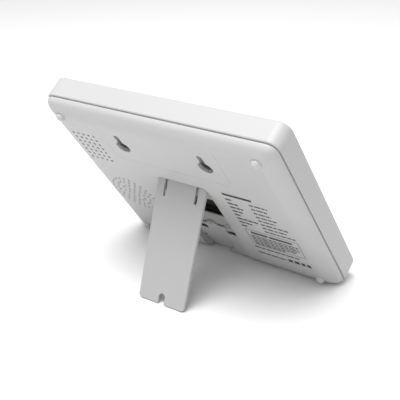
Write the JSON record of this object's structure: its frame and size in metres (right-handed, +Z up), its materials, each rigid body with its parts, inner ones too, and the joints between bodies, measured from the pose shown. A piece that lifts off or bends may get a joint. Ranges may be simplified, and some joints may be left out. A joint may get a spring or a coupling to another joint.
{
  "type": "digital photo frame",
  "caption": "Table-top digital picture frame, seen from behind, leaning on a fold-out leg, with keyholes, vents, a speaker grille and a pillow-edged white back.",
  "frame": {"origin": "middle of the footprint on the table surface: the bottom centre of the bounding box in the standing pose", "axes": "+X to the right seen from the front, +Z up, the picture faces -Y and leans back"},
  "size_m": [0.161, 0.0926, 0.1241],
  "materials": {
    "case_white": "fine satin moulded",
    "leg_white": "fine satin moulded",
    "plate_white": "smooth moulded",
    "key_grey": "smooth moulded",
    "foot_white": "smooth soft",
    "black_plastic": "moulded",
    "grey_plastic": "moulded",
    "ivory_plastic": "moulded",
    "steel": "rolled",
    "screw_steel": "zinc plated",
    "screen_glass": "polished dark",
    "light_guide": "clear",
    "diffuser": "frosted",
    "led_yellow": "phosphor",
    "foam_black": "foam",
    "board_green": "solder mask",
    "chip_black": "epoxy",
    "alloy_can": "drawn",
    "ferrite": "sintered",
    "flex_amber": "film",
    "paper_black": "pressed paper",
    "wire_red": "PVC",
    "gold_pin": "plated"
  },
  "bodies": {
    "case": {"front_bezel": "case_white", "back_cover": "case_white", "hinge_bracket": "black_plastic", "hinge_bracket_screws": "screw_steel", "leg_catch_plate": "plate_white", "catch_plate_screws": "screw_steel", "bumper_feet": "foot_white", "case_screws": "screw_steel", "screen_gasket": "foam_black", "lcd_metal_frame": "steel", "lcd_glass": "screen_glass", "diffuser_sheet": "diffuser", "light_guide": "light_guide", "backlight_bar": "led_yellow", "lcd_rear_tray": "ivory_plastic", "screen_bracket_top": "steel", "screen_bracket_bottom": "steel", "screen_bracket_screws": "screw_steel", "main_board": "board_green", "board_screws": "screw_steel", "processor_chip": "chip_black", "memory_chips": "chip_black", "capacitors": "alloy_can", "inductors": "ferrite", "crystal": "alloy_can", "card_socket": "steel", "usb_socket": "steel", "dc_jack": "black_plastic", "dc_jack_pin": "gold_pin", "audio_jack": "black_plastic", "key_switches": "grey_plastic", "power_switch_body": "black_plastic", "display_flex": "flex_amber", "flex_connector": "ivory_plastic", "speaker_frame": "steel", "speaker_cone": "paper_black", "speaker_magnet": "ferrite", "speaker_ring": "grey_plastic", "speaker_leads": "wire_red", "speaker_plug": "ivory_plastic", "clock_cell": "alloy_can", "clock_cell_holder": "black_plastic"},
    "leg": {"stand_leg": "leg_white"},
    "power_slide": {"power_switch_knob": "key_grey"},
    "menu_key": {"menu_button": "key_grey"},
    "up_key": {"up_button": "key_grey"},
    "down_key": {"down_button": "key_grey"},
    "enter_key": {"enter_button": "key_grey"},
    "play_key": {"play_button": "key_grey"}
  },
  "joints": [
    {"name": "leg_hinge", "type": "hinge", "parent": "case", "child": "leg", "pos_m": [-0.00045, 0.01685, 0.06816], "axis": [-1, 0, 0], "range_deg": [0, 55.6]},
    {"name": "power_slide_travel", "type": "slide", "parent": "case", "child": "power_slide", "axis": [0, 0.5621, 0.8271], "range_m": [0, 0.002]},
    {"name": "menu_key_press", "type": "slide", "parent": "case", "child": "menu_key", "axis": [-1, 0, 0], "range_m": [0, 0.0004], "stiffness_N_per_m": 600},
    {"name": "up_key_press", "type": "slide", "parent": "case", "child": "up_key", "axis": [-1, 0, 0], "range_m": [0, 0.0004], "stiffness_N_per_m": 600},
    {"name": "down_key_press", "type": "slide", "parent": "case", "child": "down_key", "axis": [-1, 0, 0], "range_m": [0, 0.0004], "stiffness_N_per_m": 600},
    {"name": "enter_key_press", "type": "slide", "parent": "case", "child": "enter_key", "axis": [-1, 0, 0], "range_m": [0, 0.0004], "stiffness_N_per_m": 600},
    {"name": "play_key_press", "type": "slide", "parent": "case", "child": "play_key", "axis": [-1, 0, 0], "range_m": [0, 0.0004], "stiffness_N_per_m": 600}
  ]
}
